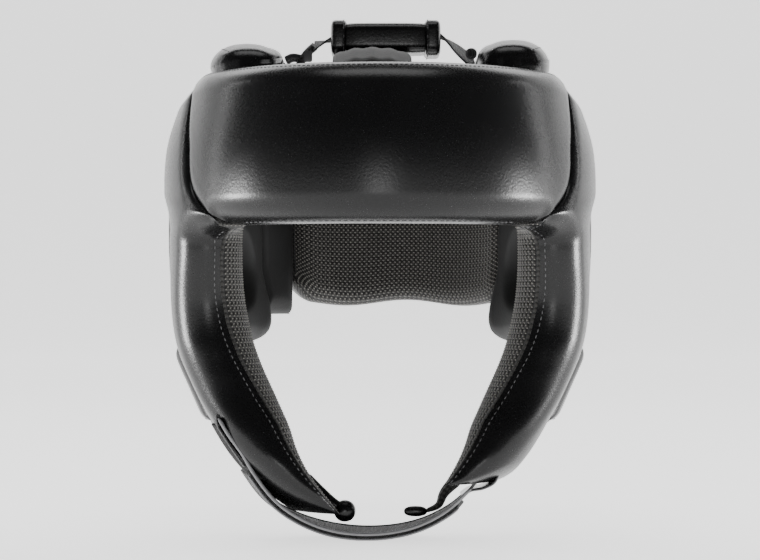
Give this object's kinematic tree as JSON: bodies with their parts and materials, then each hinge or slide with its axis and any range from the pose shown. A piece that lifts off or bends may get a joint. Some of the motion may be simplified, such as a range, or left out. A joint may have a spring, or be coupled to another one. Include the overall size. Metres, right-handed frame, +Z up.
{
  "type": "boxing headgear",
  "caption": "Open-face padded boxing headgear with cheek arms, ear pads, laced crown, hinged rear flap and hook-and-loop chin strap.",
  "frame": {"origin": "middle of the head cavity, level with the lower edge of the forehead pad", "axes": "-Y is the front, +X the viewer's right seen from the front, +Z up"},
  "size_m": [0.224, 0.2533, 0.2694],
  "materials": {
    "leather": "black synthetic leather, satin",
    "mesh_lining": "dark open mesh lining",
    "foam": "closed-cell foam",
    "webbing": "ribbed black webbing",
    "loop_pile": "black loop pile",
    "hook_tape": "black hook tape",
    "eyelet_metal": "black enamelled",
    "tab_plastic": "dark grey glossy",
    "lace": "flat black braid"
  },
  "bodies": {
    "root": {"cheek_arm_left_foam": "foam", "cheek_arm_left_lining": "mesh_lining", "cheek_arm_left_skin": "leather", "cheek_arm_right_foam": "foam", "cheek_arm_right_lining": "mesh_lining", "cheek_arm_right_skin": "leather", "chin_hook_patch": "hook_tape", "chin_loop_tab": "tab_plastic", "chin_tip_left": "leather", "chin_tip_right": "leather", "crown_eyelets": "eyelet_metal", "crown_lace": "lace", "crown_pad_left_foam": "foam", "crown_pad_left_skin": "leather", "crown_pad_right_foam": "foam", "crown_pad_right_skin": "leather", "crown_tongue": "leather", "crown_web": "webbing", "ear_pad_left_foam": "foam", "ear_pad_left_lining": "mesh_lining", "ear_pad_left_skin": "leather", "ear_pad_right_foam": "foam", "ear_pad_right_lining": "mesh_lining", "ear_pad_right_skin": "leather", "forehead_foam": "foam", "forehead_lining": "mesh_lining", "forehead_skin": "leather", "jaw_gusset_left": "leather", "jaw_gusset_right": "leather", "rear_hinge_welt": "leather", "rear_loop_patch": "loop_pile", "rear_wing_foam": "foam", "rear_wing_lining": "mesh_lining", "rear_wing_skin": "leather", "side_panel_left_foam": "foam", "side_panel_left_lining": "mesh_lining", "side_panel_left_skin": "leather", "side_panel_right_foam": "foam", "side_panel_right_lining": "mesh_lining", "side_panel_right_skin": "leather"},
    "rear_flap": {"rear_flap_lining": "mesh_lining", "rear_flap_foam": "foam", "rear_flap_skin": "leather", "rear_strap_base": "webbing"},
    "rear_strap": {"rear_strap_tip": "webbing", "rear_strap_hook": "hook_tape"},
    "chin_strap": {"chin_strap_web": "webbing", "chin_strap_pile": "loop_pile", "chin_strap_pull": "leather"},
    "crown_roll": {"crown_bolster_cover": "leather", "crown_bolster_foam": "foam", "crown_bolster_band_left": "leather", "crown_bolster_band_right": "leather"}
  },
  "joints": [
    {"name": "rear_flap_hinge", "type": "hinge", "parent": "root", "child": "rear_flap", "pos_m": [0.08796, 0.0616, 0], "axis": [0, 0, -1], "range_deg": [0, 70]},
    {"name": "rear_strap_hinge", "type": "hinge", "parent": "rear_flap", "child": "rear_strap", "pos_m": [-0.0502, 0.11102, 0.01], "axis": [0, 0, -1], "range_deg": [0, 110]},
    {"name": "chin_strap_hinge", "type": "hinge", "parent": "root", "child": "chin_strap", "pos_m": [0.0462, -0.044, -0.13825], "axis": [0, -1, 0], "range_deg": [0, 90]},
    {"name": "crown_roll_slide", "type": "slide", "parent": "root", "child": "crown_roll", "axis": [1, 0, 0], "range_m": [-0.006, 0.006]}
  ]
}
